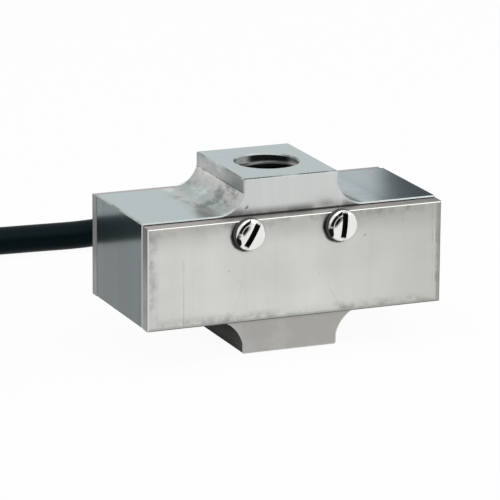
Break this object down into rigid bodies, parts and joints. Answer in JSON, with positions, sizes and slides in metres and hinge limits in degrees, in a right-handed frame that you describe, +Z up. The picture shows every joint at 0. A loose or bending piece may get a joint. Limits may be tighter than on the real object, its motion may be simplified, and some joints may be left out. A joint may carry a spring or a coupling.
{
  "type": "s type load cell",
  "caption": "S-type load cell: a steel block with covered faces, a threaded boss above and below, and a cable from a gland at the rear.",
  "frame": {"origin": "centre of the lower boss's end face, where the lower threaded hole opens", "axes": "+Z up along both threaded holes, the direction of the load; +X along the block; -Y faces the front cover and +Y the cable gland"},
  "size_m": [0.1696, 0.0926, 0.0337],
  "materials": {
    "body_steel": "polished",
    "cover_steel": "satin",
    "screw": "polished",
    "gasket": "matt",
    "gauge_foil": "satin",
    "board": "satin",
    "resistor": "matt",
    "wire": "gloss",
    "core": "gloss",
    "potting": "matt",
    "gland_metal": "nickel plated, satin",
    "seal": "matt",
    "cable": "satin",
    "tie": "satin",
    "sleeve": "satin",
    "lead_red": "gloss",
    "lead_black": "gloss",
    "lead_green": "gloss",
    "lead_white": "gloss",
    "tinned": "tinned"
  },
  "bodies": {
    "root": {"beam_body": "body_steel", "front_cover": "cover_steel", "rear_cover": "cover_steel", "front_gasket": "gasket", "rear_gasket": "gasket", "front_screw_left": "screw", "front_screw_right": "screw", "rear_screw_left": "screw", "rear_screw_right": "screw", "gauge_left_upper": "gauge_foil", "gauge_left_lower": "gauge_foil", "gauge_right_upper": "gauge_foil", "gauge_right_lower": "gauge_foil", "terminal_board": "board", "trim_resistors": "resistor", "gauge_wires_left": "wire", "gauge_wires_right": "wire", "cable_cores": "core", "potting_left": "potting", "potting_right": "potting", "gland_body": "gland_metal", "gland_locknut": "gland_metal", "gland_seal": "seal", "gland_nut": "gland_metal", "strain_relief": "seal", "cable_inner_end": "cable", "cable": "cable", "cable_coil": "cable", "cable_tie": "tie", "end_sleeve": "sleeve", "lead_red": "lead_red", "lead_black": "lead_black", "lead_green": "lead_green", "lead_white": "lead_white", "lead_tips": "tinned", "shield_drain": "tinned"}
  },
  "joints": []
}
